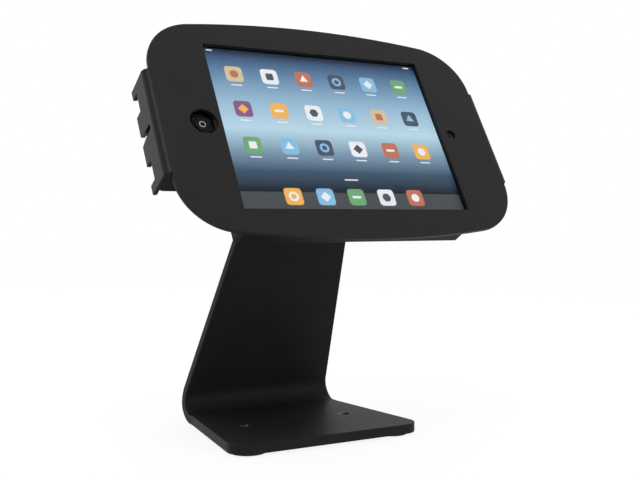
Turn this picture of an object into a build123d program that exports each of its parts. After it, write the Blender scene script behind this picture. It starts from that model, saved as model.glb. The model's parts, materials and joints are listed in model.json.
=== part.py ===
from build123d import *
from math import atan2, cos, radians, sin, sqrt, tan
import os

# A counter-top kiosk stand that holds a 9.7-inch class tablet in a locked steel enclosure.
# All lengths are in millimetres. +X is the viewer's right, +Y goes back, +Z goes up.
# The origin is the bottom centre of the bounding box, on the surface the stand rests on.

# Clearances and small shared values
thread_gap = 0.05
running_gap = 0.05
seat_gap = 0.2
overrun = 1.0
edge_share = 0.5

# Tablet, sized from its display
display_length = 197.1
display_height = 147.8
display_side_margin = 10.85
tablet_thickness = 7.5
tablet_corner_radius = 11.0
tablet_back_radius = 3.0
shell_wall = 1.2
glass_thickness = 0.9
glass_margin = 0.7
glass_edge_radius = 0.3
display_border = 1.6
display_thickness = 1.9
display_drop = 0.4
home_button_radius = 5.85
home_button_edge_room = 1.35
home_button_thickness = 1.7
home_button_dish = 0.35
home_button_gap = 0.15
home_button_travel = 0.45
home_switch_length = 3.2
home_switch_height = 0.9
home_switch_gap = 0.15
home_switch_dome_radius = 1.3
home_switch_base_length = 6.0
camera_room = 10.75
camera_radius = 3.2
camera_depth = 2.4
camera_lens_radius = 1.9
camera_lens_step = 0.3
battery_end_room = 31.0
battery_side_room = 25.75
battery_thickness = 2.6
battery_gap = 2.0
battery_count = 3
board_width = 16.0
board_side_room = 22.75
board_thickness = 1.0
chip_length = 9.0
chip_height = 12.0
chip_thickness = 0.8
chip_count = 5
chip_side_room = 18.0
port_length = 9.4
port_height = 3.0
port_switch_gap = 0.2
port_wall = 0.4

# Face cover
cover_thickness = 3.0
cover_side_reach = 14.4
cover_crown_radius = 815.0
cover_corner_radius = 44.5
cover_edge_round = 0.5
window_corner_radius = 0.8
home_hole_radius = 10.8
home_hole_room = 3.45
camera_hole_radius = 4.3
gasket_thickness = 0.5
gasket_inset = 2.0
gasket_height_inset = 1.0
gasket_outset = 5.0
flange_overhang = 4.8
flange_half_height = 45.0
flange_bend_radius = 5.0
flange_depth = 20.6
tooth_length = 9.0
end_tooth_height = 7.5
middle_tooth_height = 17.0
middle_tooth_start = 4.4
slit_half_width = 2.5
slit_depth = 8.9
relief_width = 0.5
relief_depth = 0.8

# Rear tray
tray_depth = 27.8
tray_wall = 2.0
tray_box_inset = 20.2
tray_arm_side_gap = 1.4
tray_arm_gap = 0.3
tray_corner_radius = 3.5
tray_edge_round = 1.8
tray_tablet_gap = 0.25
tray_lip_gap = 0.3
tray_end_gap = 0.6
vent_length = 42.0
vent_width = 4.0
vent_pitch = 9.0
vent_room = 10.0
vent_count = 4
cable_hole_radius = 8.0
grommet_lip = 2.0
grommet_lip_thickness = 1.2
grommet_bore_radius = 5.5

# Foam, standoffs and security screws
pad_length = 34.0
pad_height = 30.0
pad_inset = 4.0
pad_corner_radius = 3.0
standoff_radius = 3.6
standoff_side_room = 12.6
sleeve_radius = 5.6
sleeve_length = 8.4
security_screw_radius = 2.0
security_screw_length = 12.0
security_head_radius = 4.6
security_head_height = 2.5
security_socket_across = 2.5
security_socket_depth = 1.4
security_pin_radius = 0.4
screw_hole_gap = 0.25

# Lock
lock_tablet_room = 11.5
lock_wall_room = 16.2
lock_barrel_radius = 7.0
lock_flat_half_width = 6.1
lock_flange_radius = 10.0
lock_flange_thickness = 2.5
lock_barrel_end = 10.6
lock_nut_across = 19.0
lock_nut_thickness = 3.0
plug_radius = 4.8
plug_proud = 0.4
keyway_width = 2.0
keyway_height = 6.4
keyway_depth = 9.0
plug_tail_width = 5.0
cam_thickness = 2.0
cam_gap = 0.2
cam_length = 12.2
cam_width = 8.0
cam_eye_radius = 5.6
cam_screw_head_radius = 4.0
cam_screw_head_height = 1.8
cam_screw_radius = 1.5
cam_screw_length = 5.0
keeper_thickness = 1.5
keeper_width = 13.0
keeper_reach = 8.2
keeper_riser = 15.5
keeper_sleeve_gap = 0.9
keeper_gap = 0.5

# Swivel
swivel_plate_margin = 12.5
swivel_plate_thickness = 4.0
swivel_plate_corner = 8.0
swivel_hole_spacing = 75.0
swivel_screw_radius = 2.0
swivel_head_radius = 3.8
swivel_head_height = 2.4
swivel_socket_radius = 1.3
swivel_socket_depth = 1.2
swivel_shoulder_radius = 8.0
swivel_washer_radius = 14.0
friction_washer_thickness = 1.0
thrust_washer_thickness = 1.5
disc_spring_height = 1.6
disc_spring_thickness = 0.9
swivel_head_bolt_radius = 11.0
swivel_head_bolt_height = 6.5
swivel_socket_across = 8.0
swivel_socket_bolt_depth = 4.0
swivel_thread_radius = 6.0
swivel_thread_length = 7.6
swivel_window_radius = 23.5
swivel_turn = 90.0
stop_pin_radius = 2.5
stop_pin_offset = 18.5
stop_pin_recess = 0.6
stop_slot_gap = 0.2
stop_slot_margin_angle = 1.0

# Tilt knuckle and hinge
knuckle_neck = 8.2
knuckle_flange_radius = 23.0
knuckle_flange_thickness = 5.0
knuckle_radius = 10.5
knuckle_half_length = 25.0
knuckle_web_half_length = 18.0
knuckle_web_half_height = 15.0
knuckle_chamfer = 0.8
friction_disc_radius = 9.0
friction_disc_thickness = 1.0
hinge_bolt_radius = 5.0
hinge_bolt_head_radius = 8.0
hinge_bolt_head_height = 6.0
hinge_socket_across = 8.0
hinge_socket_depth = 3.5
hinge_washer_radius = 10.0
hinge_washer_thickness = 1.6
hinge_nut_across = 17.0
hinge_nut_height = 7.0
hinge_nut_collar_radius = 6.6
hinge_nut_collar_height = 2.4
hinge_bolt_tail = 2.0
bracket_thickness = 4.0
bracket_ear_radius = 12.5
bracket_inner_bend = 2.0
bracket_web_top = 2.0
bracket_web_corner = 6.0
bracket_gap = 0.9
bracket_bolt_radius = 3.0
bracket_bolt_x = 15.0
bracket_bolt_side_margin = 9.0
bracket_bolt_drop = 28.0
bracket_bolt_pitch = 22.0
bracket_bolt_low_margin = 12.0
bracket_head_radius = 5.4
bracket_head_height = 3.2
bracket_socket_across = 4.0
bracket_socket_depth = 1.8
column_top_gap = 2.0
tablet_tilt = 30.9

# Stand plate and feet
plate_thickness = 8.0
base_length = 145.0
bend_half_width = 72.6
base_taper = 7.0
column_taper = 7.66
column_lean = 26.7
column_to_hinge = 245.7
bend_inner_radius = 13.0
base_corner_radius = 14.5
column_corner_radius = 8.0
crease_radius = 60.0
stand_edge_round = 0.6
anchor_hole_radius = 2.75
anchor_sink_radius = 5.3
anchor_half_spacing = 48.3
anchor_set_back = 63.6
foot_radius = 15.0
foot_height = 2.0
foot_edge_gap = 3.7
foot_taper = 0.6

CENTRE_LOW = (Align.CENTER, Align.CENTER, Align.MIN)


def slab(outline, low, high):
    """A flat outline raised from one level to another."""
    return Pos(0, 0, low) * extrude(outline, amount=high - low)


def rod(radius, low, high, at=(0, 0)):
    """A round rod along Z between two levels."""
    return Pos(at[0], at[1], low) * Cylinder(radius, high - low, align=CENTRE_LOW)


def tube(bore, radius, low, high, at=(0, 0)):
    """A round tube along Z between two levels."""
    return rod(radius, low, high, at) - rod(bore, low - overrun, high + overrun, at)


def rod_x(radius, low, high):
    """A round rod along the X axis."""
    return Rot(0, 90, 0) * rod(radius, low, high)


def hexagon(across):
    """A hexagon outline of a given width across its flats."""
    return RegularPolygon(across / 2, 6, major_radius=False)


def block(x_low, x_high, y_low, y_high, z_low, z_high):
    """A rectangular block between two corners."""
    size = (x_high - x_low, y_high - y_low, z_high - z_low)
    return Pos(x_low, y_low, z_low) * Box(*size, align=(Align.MIN, Align.MIN, Align.MIN))


def mirrored_pair(x, y):
    """Four places, one in each quarter."""
    return [(sx * x, sy * y) for sx in (-1, 1) for sy in (-1, 1)]


def corners_at(outline, x, y):
    """The outline's corners at one distance from each axis."""
    corners = outline.vertices()
    return [corner for corner in corners if abs(abs(corner.X) - x) + abs(abs(corner.Y) - y) < thread_gap]


# Lengths that follow from the display and from what seats beside the tablet
home_button_offset = display_length / 2 + home_hole_room + home_hole_radius
tablet_length = (home_button_offset + home_button_radius + home_button_edge_room) * 2
tablet_height = display_height + display_side_margin * 2
camera_offset = display_length / 2 + camera_room
home_button_inset = tablet_length / 2 - home_button_offset
port_start = tablet_back_radius - shell_wall
port_depth = home_button_inset - home_switch_length / 2 - port_start - port_switch_gap
battery_row = tablet_length - battery_end_room * 2
battery_length = (battery_row + battery_gap) / battery_count - battery_gap
battery_height = tablet_height - battery_side_room * 2
board_height = tablet_height - board_side_room * 2
chip_pitch = (board_height - chip_side_room * 2) / (chip_count - 1)
lock_offset = tablet_length / 2 + lock_tablet_room
tray_reach = lock_offset + lock_wall_room
flange_reach = tray_reach + tray_arm_gap + cover_thickness
cover_half_length = flange_reach - flange_overhang
cover_half_height = tablet_height / 2 + cover_side_reach
tray_box_half_length = tablet_length / 2 - tray_box_inset
tray_half_height = tablet_height / 2 + tray_tablet_gap + tray_wall
tray_arm_half_height = flange_half_height - tray_arm_side_gap
standoff_x = tablet_length / 2 + seat_gap + sleeve_radius
standoff_y = tray_arm_half_height - standoff_side_room
keeper_end = standoff_y - sleeve_radius - keeper_sleeve_gap
swivel_plate_length = swivel_hole_spacing + swivel_plate_margin * 2
vent_start = swivel_plate_length / 2 + vent_room
cable_hole_drop = (swivel_plate_length / 2 + tray_half_height) / 2
bracket_bolt_low = bracket_bolt_drop + bracket_bolt_pitch
bracket_web_drop = bracket_bolt_low + bracket_bolt_low_margin
bracket_web_half_length = bracket_bolt_x + bracket_bolt_side_margin
foot_inset = foot_radius + foot_edge_gap

# Levels behind the cover's front surface, in a frame whose Z points at the viewer
cover_back = -cover_thickness
glass_front = cover_back - gasket_thickness
glass_back = glass_front - glass_thickness
tablet_back = glass_front - tablet_thickness
tray_back = -tray_depth
tray_floor = tray_back + tray_wall
lip_front = cover_back - tray_lip_gap
plate_back = tray_back - swivel_plate_thickness
knuckle_front = plate_back - friction_washer_thickness
knuckle_flange_back = knuckle_front - knuckle_flange_thickness
hinge_depth = knuckle_neck - knuckle_flange_back
spring_seat = tray_back + thrust_washer_thickness
bolt_seat = spring_seat + disc_spring_height
ear_inner = knuckle_half_length + friction_disc_thickness
ear_outer = ear_inner + bracket_thickness

# Where the hinge sits over the stand, and where the face sits over the hinge
hinge_offset = knuckle_radius + bracket_gap - plate_thickness
lean = radians(column_lean)
tilt = radians(tablet_tilt)
base_top = foot_height + plate_thickness
hinge_run = base_length - column_to_hinge * sin(lean) - hinge_offset * cos(lean)
hinge_height = base_top + column_to_hinge * cos(lean) - hinge_offset * sin(lean)
face_run = hinge_run - hinge_depth * cos(tilt)
face_height = hinge_height + hinge_depth * sin(tilt)
bend_outer_radius = bend_inner_radius + plate_thickness
bend_tangent = bend_inner_radius * tan((radians(90) + lean) / 2)
rear_run = base_length - bend_tangent + bend_outer_radius
edge_trim = cover_edge_round * (sin(tilt) + cos(tilt) - 1)
front_run = face_run - cover_half_height * sin(tilt) + edge_trim
base_front = -(front_run + rear_run) / 2
bend_start = base_front + base_length - bend_tangent

# The stand plate's sides are straight through the bend and taper on both sides of it
straight_start = bend_start - overrun
plan_corner = straight_start - crease_radius * tan(radians(base_taper) / 2)
front_corner = base_top + overrun + crease_radius * tan(radians(column_taper) / 2)
base_front_half_width = bend_half_width + (plan_corner - base_front) * tan(radians(base_taper))
column_slope = tan(radians(column_taper))
column_top_half_width = bend_half_width - (hinge_height - front_corner) * column_slope

face_frame = Plane(
    origin=(0, base_front + face_run, face_height),
    x_dir=(1, 0, 0),
    z_dir=(0, -cos(tilt), sin(tilt)),
).location
column_frame = Plane(
    origin=(0, base_front + hinge_run, hinge_height),
    x_dir=(1, 0, 0),
    z_dir=(0, -cos(lean), -sin(lean)),
).location


# Stand plate and feet

def stand_side_profile():
    """The bent plate seen from the side, as a face with Y across and Z up."""
    corner = (base_front + base_length, base_top)
    top = column_to_hinge - bracket_ear_radius - column_top_gap
    back = (plate_thickness * cos(lean), plate_thickness * sin(lean))
    top_front = (corner[0] - top * sin(lean), corner[1] + top * cos(lean))
    top_back = (top_front[0] + back[0], top_front[1] + back[1])
    outer_step = plate_thickness * tan((radians(90) + lean) / 2)
    outer = (corner[0] + outer_step, foot_height)
    points = [(base_front, foot_height), (base_front, base_top), corner, top_front, top_back, outer]
    profile = make_face(Polyline(*points, close=True))
    profile = fillet(profile.vertices().sort_by(Axis.X)[-1], bend_outer_radius)
    corner_vertex = profile.vertices().sort_by_distance(Vector(*corner))[0]
    return fillet(corner_vertex, bend_inner_radius)


def rounded_outline(points, picked, radius):
    """A closed outline with the picked corners rounded."""
    outline = make_face(Polyline(*points, close=True))
    corners = [outline.vertices().sort_by_distance(Vector(*point))[0] for point in picked]
    return fillet(corners, radius)


def stand_plate():
    """One thick plate: a tapered base, a rear bend and a tapered column that leans forward."""
    profile = stand_side_profile()
    base_strip = Pos(straight_start, 0) * Rectangle(
        base_length * 2, base_top * 2, align=(Align.MAX, Align.CENTER)
    )
    side = extrude(Plane.YZ * (profile - base_strip), amount=base_front_half_width, both=True)
    creases = [(-bend_half_width, front_corner), (bend_half_width, front_corner)]
    front_view = rounded_outline(
        [
            (-bend_half_width, 0),
            creases[0],
            (-column_top_half_width, hinge_height),
            (column_top_half_width, hinge_height),
            creases[1],
            (bend_half_width, 0),
        ],
        creases,
        crease_radius,
    )
    column = side & extrude(Plane.XZ * front_view, amount=base_length * 2, both=True)
    top_face = column.faces().sort_by(Axis.Z)[-1]
    column = fillet(top_face.edges().sort_by(SortBy.LENGTH)[:2], column_corner_radius)
    creases = [(-bend_half_width, plan_corner), (bend_half_width, plan_corner)]
    plan = rounded_outline(
        [
            (-base_front_half_width, base_front),
            creases[0],
            (-bend_half_width, base_length),
            (bend_half_width, base_length),
            creases[1],
            (base_front_half_width, base_front),
        ],
        creases,
        crease_radius,
    )
    plan &= Pos(0, straight_start) * Rectangle(
        base_length * 2, base_length * 2, align=(Align.CENTER, Align.MAX)
    )
    plan = fillet(plan.vertices().sort_by(Axis.Y)[:2], base_corner_radius)
    body = slab(plan, foot_height, base_top) + column
    broad = body.faces().sort_by(SortBy.AREA)[-6:]
    rim = [edge for edge in body.edges() if touching_faces(edge, broad) == 1]
    body = fillet(rim, stand_edge_round)
    sink = Cone(
        0, anchor_sink_radius, anchor_sink_radius, align=(Align.CENTER, Align.CENTER, Align.MAX)
    )
    for side_sign in (-1, 1):
        at = (side_sign * anchor_half_spacing, base_front + anchor_set_back)
        body -= rod(anchor_hole_radius, foot_height - overrun, base_top + overrun, at)
        body -= Pos(at[0], at[1], base_top) * sink
    for x, y in bracket_bolt_places():
        hole = rod(
            bracket_bolt_radius + thread_gap,
            -hinge_offset - plate_thickness - overrun,
            -hinge_offset + overrun,
            (x, y),
        )
        body -= column_frame * hole
    return body


def touching_faces(edge, faces):
    """How many of the faces an edge belongs to."""
    return sum(any(edge.is_same(other) for other in face.edges()) for face in faces)


def half_width_at(y):
    """Half width of the base at a place along it."""
    return bend_half_width + max(0, plan_corner - y) * tan(radians(base_taper))


def rubber_feet():
    """Four thin round pads under the base."""
    pads = []
    for y in (base_front + foot_inset, bend_start - foot_inset):
        x = half_width_at(y) - foot_inset
        for side_sign in (-1, 1):
            pad = Cone(foot_radius - foot_taper, foot_radius, foot_height, align=CENTRE_LOW)
            pads.append(Pos(side_sign * x, y, 0) * pad)
    return pads


# Hinge at the top of the column, in a frame with Y up the column and Z forward

def bracket_bolt_places():
    """Two rows of two bolts through the bracket's web."""
    heights = (-bracket_bolt_low, -bracket_bolt_drop)
    return [(x, y) for x in (-bracket_bolt_x, bracket_bolt_x) for y in heights]


def hinge_bracket():
    """A bent bracket: a flat web behind the column, cut low between two round ears."""
    web_front = -hinge_offset - plate_thickness
    web_back = web_front - bracket_thickness
    outer_bend = bracket_inner_bend + bracket_thickness
    section = make_face(
        Polyline(
            (-ear_outer, web_back),
            (ear_outer, web_back),
            (ear_outer, bracket_ear_radius),
            (ear_inner, bracket_ear_radius),
            (ear_inner, web_front),
            (-ear_inner, web_front),
            (-ear_inner, bracket_ear_radius),
            (-ear_outer, bracket_ear_radius),
            close=True,
        )
    )
    low = section.vertices().sort_by(Axis.Y)
    section = fillet(low[:2], outer_bend)
    section = fillet(corners_at(section, ear_inner, -web_front), bracket_inner_bend)
    channel = extrude(Plane.XZ * section, amount=bracket_ear_radius, both=True)
    neck = Pos(-bracket_web_top, 0) * Rectangle(
        bracket_ear_radius - bracket_web_top, -web_back, align=(Align.MAX, Align.MAX)
    )
    channel &= extrude(Plane.YZ * (Circle(bracket_ear_radius) + neck), amount=ear_outer, both=True)
    top = (-bracket_web_top, bracket_ear_radius + overrun)
    channel -= block(-ear_inner, ear_inner, *top, web_back - overrun, web_front + overrun)
    web_height = bracket_web_drop - bracket_web_top
    web = Pos(0, -bracket_web_top - web_height / 2) * RectangleRounded(
        bracket_web_half_length * 2, web_height, bracket_web_corner
    )
    body = channel + slab(web, web_back, web_front)
    body -= rod_x(hinge_bolt_radius + running_gap, -ear_outer - overrun, ear_outer + overrun)
    for place in bracket_bolt_places():
        body -= rod(bracket_bolt_radius + thread_gap, web_back - overrun, web_front + overrun, place)
    return body


def button_bolt(radius, length, head_radius, head_height, socket_across, socket_depth):
    """A low-headed socket screw: its head stands above zero and its shank goes down."""
    head = rod(head_radius, 0, head_height)
    head = chamfer(head.edges().group_by(Axis.Z)[-1], head_height * edge_share)
    socket = slab(hexagon(socket_across), head_height - socket_depth, head_height + overrun)
    return head + rod(radius, -length, 0) - socket


def bracket_bolts():
    """Four low-headed bolts from behind the bracket into the tapped column."""
    web_back = -hinge_offset - plate_thickness - bracket_thickness
    length = bracket_thickness + plate_thickness
    bolt = button_bolt(
        bracket_bolt_radius, length, bracket_head_radius, bracket_head_height,
        bracket_socket_across, bracket_socket_depth,
    )
    return [Pos(x, y, web_back) * Rot(180, 0, 0) * bolt for x, y in bracket_bolt_places()]


def hinge_bolt():
    """The shoulder bolt that the tilt knuckle turns on."""
    head_face = ear_outer + hinge_washer_thickness
    tail = head_face + hinge_nut_height + hinge_bolt_tail
    body = rod_x(hinge_bolt_radius, -head_face, tail)
    head = rod(hinge_bolt_head_radius, -head_face - hinge_bolt_head_height, -head_face)
    head = chamfer(head.edges().group_by(Axis.Z)[0], knuckle_chamfer)
    socket = slab(
        hexagon(hinge_socket_across),
        -head_face - hinge_bolt_head_height - overrun,
        -head_face - hinge_bolt_head_height + hinge_socket_depth,
    )
    return body + Rot(0, 90, 0) * (head - socket)


def hinge_nut():
    """A self-locking nut with its collar."""
    low = ear_outer + hinge_washer_thickness
    full = low + hinge_nut_height
    body = slab(hexagon(hinge_nut_across), low, full - hinge_nut_collar_height)
    body += rod(hinge_nut_collar_radius, full - hinge_nut_collar_height, full)
    body -= rod(hinge_bolt_radius + thread_gap, low - overrun, full + overrun)
    return Rot(0, 90, 0) * body


def hinge_washers():
    """One plain washer outside each ear."""
    washer = tube(hinge_bolt_radius + thread_gap, hinge_washer_radius, 0, hinge_washer_thickness)
    places = (ear_outer, -ear_outer - hinge_washer_thickness)
    return [Rot(0, 90, 0) * Pos(0, 0, x) * washer for x in places]


def friction_discs():
    """One friction disc between each ear and the knuckle."""
    disc = tube(hinge_bolt_radius + running_gap, friction_disc_radius, 0, friction_disc_thickness)
    places = (knuckle_half_length, -knuckle_half_length - friction_disc_thickness)
    return [Rot(0, 90, 0) * Pos(0, 0, x) * disc for x in places]


# Tilt knuckle and swivel, in the face frame

def tilt_knuckle():
    """A barrel on the hinge bolt with a web up to a round flange that faces the tablet."""
    axis_level = -hinge_depth
    barrel = rod_x(knuckle_radius, -knuckle_half_length, knuckle_half_length)
    barrel = chamfer(barrel.edges().filter_by(GeomType.CIRCLE), knuckle_chamfer)
    side = make_face(
        Polyline(
            (-knuckle_web_half_height, knuckle_flange_back),
            (knuckle_web_half_height, knuckle_flange_back),
            (knuckle_radius, axis_level),
            (-knuckle_radius, axis_level),
            close=True,
        )
    )
    web = extrude(Plane.YZ * side, amount=knuckle_web_half_length, both=True)
    flange = rod(knuckle_flange_radius, knuckle_flange_back, knuckle_front)
    flange = chamfer(flange.edges().group_by(Axis.Z)[0], knuckle_chamfer)
    body = Pos(0, 0, axis_level) * barrel + web + flange
    bore_end = knuckle_half_length + overrun
    bore = rod_x(hinge_bolt_radius + running_gap, -bore_end, bore_end)
    body -= Pos(0, 0, axis_level) * bore
    thread_end = knuckle_front - swivel_thread_length
    body -= rod(swivel_thread_radius + thread_gap, thread_end - seat_gap, knuckle_front + overrun)
    pin_at = (0, stop_pin_offset)
    body -= rod(stop_pin_radius, knuckle_flange_back - overrun, knuckle_front + overrun, pin_at)
    return body


def swivel_bolt():
    """The shoulder bolt that the swivel plate turns on, with its head inside the tray."""
    head = rod(swivel_head_bolt_radius, bolt_seat, bolt_seat + swivel_head_bolt_height)
    head = chamfer(head.edges().group_by(Axis.Z)[-1], knuckle_chamfer)
    top = bolt_seat + swivel_head_bolt_height
    head -= slab(hexagon(swivel_socket_across), top - swivel_socket_bolt_depth, top + overrun)
    shoulder = rod(swivel_shoulder_radius, knuckle_front, bolt_seat)
    thread = rod(swivel_thread_radius, knuckle_front - swivel_thread_length, knuckle_front)
    return head + shoulder + thread


def thrust_washer():
    """The washer between the disc spring and the swivel plate."""
    return tube(swivel_shoulder_radius + running_gap, swivel_washer_radius, tray_back, spring_seat)


def disc_spring():
    """A coned spring washer that holds the swivel under load."""
    inner = swivel_shoulder_radius + running_gap
    section = make_face(
        Polyline(
            (inner, bolt_seat),
            (inner, bolt_seat - disc_spring_thickness),
            (swivel_washer_radius, spring_seat),
            (swivel_washer_radius, spring_seat + disc_spring_thickness),
            close=True,
        )
    )
    return revolve(Plane.XZ * section, Axis.Z)


def friction_washer():
    """The washer between the swivel plate and the knuckle's flange."""
    return tube(swivel_shoulder_radius + running_gap, swivel_washer_radius, knuckle_front, plate_back)


def stop_pin():
    """A pin pressed into the knuckle's flange that runs in the plate's curved slot."""
    return rod(stop_pin_radius, knuckle_flange_back, tray_back - stop_pin_recess, (0, stop_pin_offset))


def swivel_plate():
    """A square plate with a bearing bore, four tapped holes and a curved stop slot."""
    outline = RectangleRounded(swivel_plate_length, swivel_plate_length, swivel_plate_corner)
    body = slab(outline, plate_back, tray_back)
    body -= rod(swivel_shoulder_radius + running_gap, plate_back - overrun, tray_back + overrun)
    half_span = swivel_turn + stop_slot_margin_angle
    arc = CenterArc((0, 0), stop_pin_offset, -half_span, half_span * 2)
    slot = SlotArc(arc, (stop_pin_radius + stop_slot_gap) * 2)
    body -= Rot(0, 0, 90) * slab(slot, plate_back - overrun, tray_back + overrun)
    for place in mirrored_pair(swivel_hole_spacing / 2, swivel_hole_spacing / 2):
        body -= rod(swivel_screw_radius + thread_gap, plate_back - overrun, tray_back + overrun, place)
    return body


def swivel_screws():
    """Four pan-head screws from inside the tray into the swivel plate."""
    length = tray_wall + swivel_plate_thickness
    screw = button_bolt(
        swivel_screw_radius, length, swivel_head_radius, swivel_head_height,
        swivel_socket_radius * 2, swivel_socket_depth,
    )
    half = swivel_hole_spacing / 2
    return [Pos(x, y, tray_floor) * screw for x, y in mirrored_pair(half, half)]


# Face cover and tray

def cover_outline():
    """The cover's front outline: crowned long edges, large corners and straight short edges."""
    corner_x = cover_half_length - cover_corner_radius
    crown_y = cover_half_height - cover_crown_radius
    corner_y = crown_y + sqrt((cover_crown_radius - cover_corner_radius) ** 2 - corner_x**2)
    reach = cover_crown_radius / (cover_crown_radius - cover_corner_radius)
    meet_x = corner_x * reach
    meet_y = crown_y + (corner_y - crown_y) * reach
    middle = atan2(corner_y - crown_y, corner_x) / 2
    middle_x = corner_x + cover_corner_radius * cos(middle)
    middle_y = corner_y + cover_corner_radius * sin(middle)
    parts = []
    for s in (1, -1):
        meet_near = (s * meet_x, s * meet_y)
        meet_far = (-s * meet_x, s * meet_y)
        side_near = (s * cover_half_length, s * corner_y)
        side_far = (s * cover_half_length, -s * corner_y)
        parts.append(ThreePointArc(meet_far, (0, s * cover_half_height), meet_near))
        parts.append(ThreePointArc(meet_near, (s * middle_x, s * middle_y), side_near))
        parts.append(Line(side_near, side_far))
        parts.append(ThreePointArc(side_far, (s * middle_x, -s * middle_y), (s * meet_x, -s * meet_y)))
    return make_face(parts)


def flange_section(side_sign):
    """One folded flange seen along the cover: its root, a round bend and a straight leg."""
    bend_x = flange_reach - flange_bend_radius
    root_x = bend_x - overrun
    inner_radius = flange_bend_radius - cover_thickness
    half = sqrt(0.5)
    tip = -flange_depth - tooth_length

    def at(x, z):
        return (side_sign * x, z)

    outer = ThreePointArc(
        at(bend_x, 0),
        at(bend_x + flange_bend_radius * half, -flange_bend_radius + flange_bend_radius * half),
        at(flange_reach, -flange_bend_radius),
    )
    inner = ThreePointArc(
        at(flange_reach - cover_thickness, -flange_bend_radius),
        at(bend_x + inner_radius * half, -flange_bend_radius + inner_radius * half),
        at(bend_x, cover_back),
    )
    leg = Polyline(
        at(flange_reach, -flange_bend_radius),
        at(flange_reach, tip),
        at(flange_reach - cover_thickness, tip),
        at(flange_reach - cover_thickness, -flange_bend_radius),
    )
    root = Polyline(at(bend_x, cover_back), at(root_x, cover_back), at(root_x, 0), at(bend_x, 0))
    return make_face([outer, leg, inner, root])


def tooth_gaps():
    """The gaps between the flange's teeth, with the deep slit in the middle."""
    tip = -flange_depth - tooth_length - overrun
    gaps = []
    for s in (-1, 1):
        low = middle_tooth_start + middle_tooth_height
        high = flange_half_height - end_tooth_height
        gap = Rectangle(high - low, -flange_depth - tip)
        gaps.append(Pos(s * (low + high) / 2, (tip - flange_depth) / 2) * gap)
    mouth = make_face(
        Polyline(
            (-slit_half_width, -flange_depth),
            (slit_half_width, -flange_depth),
            (middle_tooth_start, tip),
            (-middle_tooth_start, tip),
            close=True,
        )
    )
    slit_end = -slit_depth - slit_half_width
    slit = Circle(slit_half_width)
    slit = Pos(0, slit_end) * slit + Pos(0, (slit_end - flange_depth) / 2) * Rectangle(
        slit_half_width * 2, slit_end + flange_depth
    )
    return gaps + [mouth + slit]


def face_cover():
    """The cover plate with its window, holes and folded toothed flanges."""
    bend_x = flange_reach - flange_bend_radius
    body = slab(cover_outline(), cover_back, 0)
    far = flange_reach + overrun
    for s in (-1, 1):
        x_low, x_high = sorted((s * bend_x, s * far))
        body -= block(x_low, x_high, -flange_half_height, flange_half_height, cover_back - overrun, overrun)
        x_low, x_high = sorted((s * (bend_x - relief_depth), s * far))
        for t in (-1, 1):
            y_low, y_high = sorted((t * flange_half_height, t * (flange_half_height + relief_width)))
            body -= block(x_low, x_high, y_low, y_high, cover_back - overrun, overrun)
    outer_edges = body.edges().group_by(Axis.Z)[-1].filter_by(GeomType.CIRCLE)
    body = fillet(outer_edges, cover_edge_round)
    for s in (-1, 1):
        body += extrude(Plane.XZ * flange_section(s), amount=flange_half_height, both=True)
    for gap in tooth_gaps():
        body -= extrude(Plane.YZ * gap, amount=far, both=True)
    window = RectangleRounded(display_length, display_height, window_corner_radius)
    body -= slab(window, cover_back - overrun, overrun)
    body -= rod(home_hole_radius, cover_back - overrun, overrun, (-home_button_offset, 0))
    body -= rod(camera_hole_radius, cover_back - overrun, overrun, (camera_offset, 0))
    return body


def cover_gasket():
    """A thin foam frame between the cover and the glass."""
    outer = RectangleRounded(
        display_length + gasket_outset * 2, display_height + gasket_outset * 2, gasket_outset
    )
    inner = Rectangle(display_length + gasket_inset * 2, display_height + gasket_height_inset * 2)
    return slab(outer - inner, glass_front, cover_back)


def cover_standoffs():
    """Four tapped posts pressed into the back of the cover, down to the tray's floor."""
    bore = security_screw_radius + thread_gap
    low = tray_floor + security_screw_length
    posts = []
    for x, y in mirrored_pair(standoff_x, standoff_y):
        post = rod(standoff_radius, tray_floor, cover_back, (x, y))
        posts.append(post - rod(bore, tray_floor - overrun, low + seat_gap, (x, y)))
    return posts


def standoff_sleeves():
    """Rubber sleeves on the standoffs that hold the tablet sideways."""
    high = cover_back - seat_gap
    bore = standoff_radius + thread_gap
    places = mirrored_pair(standoff_x, standoff_y)
    return [tube(bore, sleeve_radius, high - sleeve_length, high, place) for place in places]


def security_places():
    """The two standoffs of the left arm, which take the screws."""
    return [(-standoff_x, y) for y in (-standoff_y, standoff_y)]


def security_screws():
    """Two low-headed screws with a pin in the socket, from behind the left arm."""
    shank = security_screw_length + tray_wall
    screw = button_bolt(
        security_screw_radius, shank, security_head_radius, security_head_height,
        security_socket_across, security_socket_depth,
    )
    screw += rod(security_pin_radius, security_head_height - security_socket_depth, security_head_height)
    return [Pos(x, y, tray_back) * Rot(180, 0, 0) * screw for x, y in security_places()]


def tray_outline(inset):
    """The plus-shaped outline of the tray, drawn in by an inset."""
    box_x, box_y = tray_box_half_length - inset, tray_half_height - inset
    arm_x, arm_y = tray_reach - inset, tray_arm_half_height - inset
    outline = Rectangle(box_x * 2, box_y * 2) + Rectangle(arm_x * 2, arm_y * 2)
    outline = fillet(corners_at(outline, box_x, arm_y), tray_corner_radius - tray_wall + inset)
    outline = fillet(corners_at(outline, box_x, box_y), tray_corner_radius - inset)
    return fillet(corners_at(outline, arm_x, arm_y), tray_corner_radius - inset)


def lock_section(gap):
    """The lock barrel's round section with two flats, widened by a gap."""
    radius = lock_barrel_radius + gap
    return Circle(radius) & Rectangle(radius * 2, (lock_flat_half_width + gap) * 2)


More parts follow.
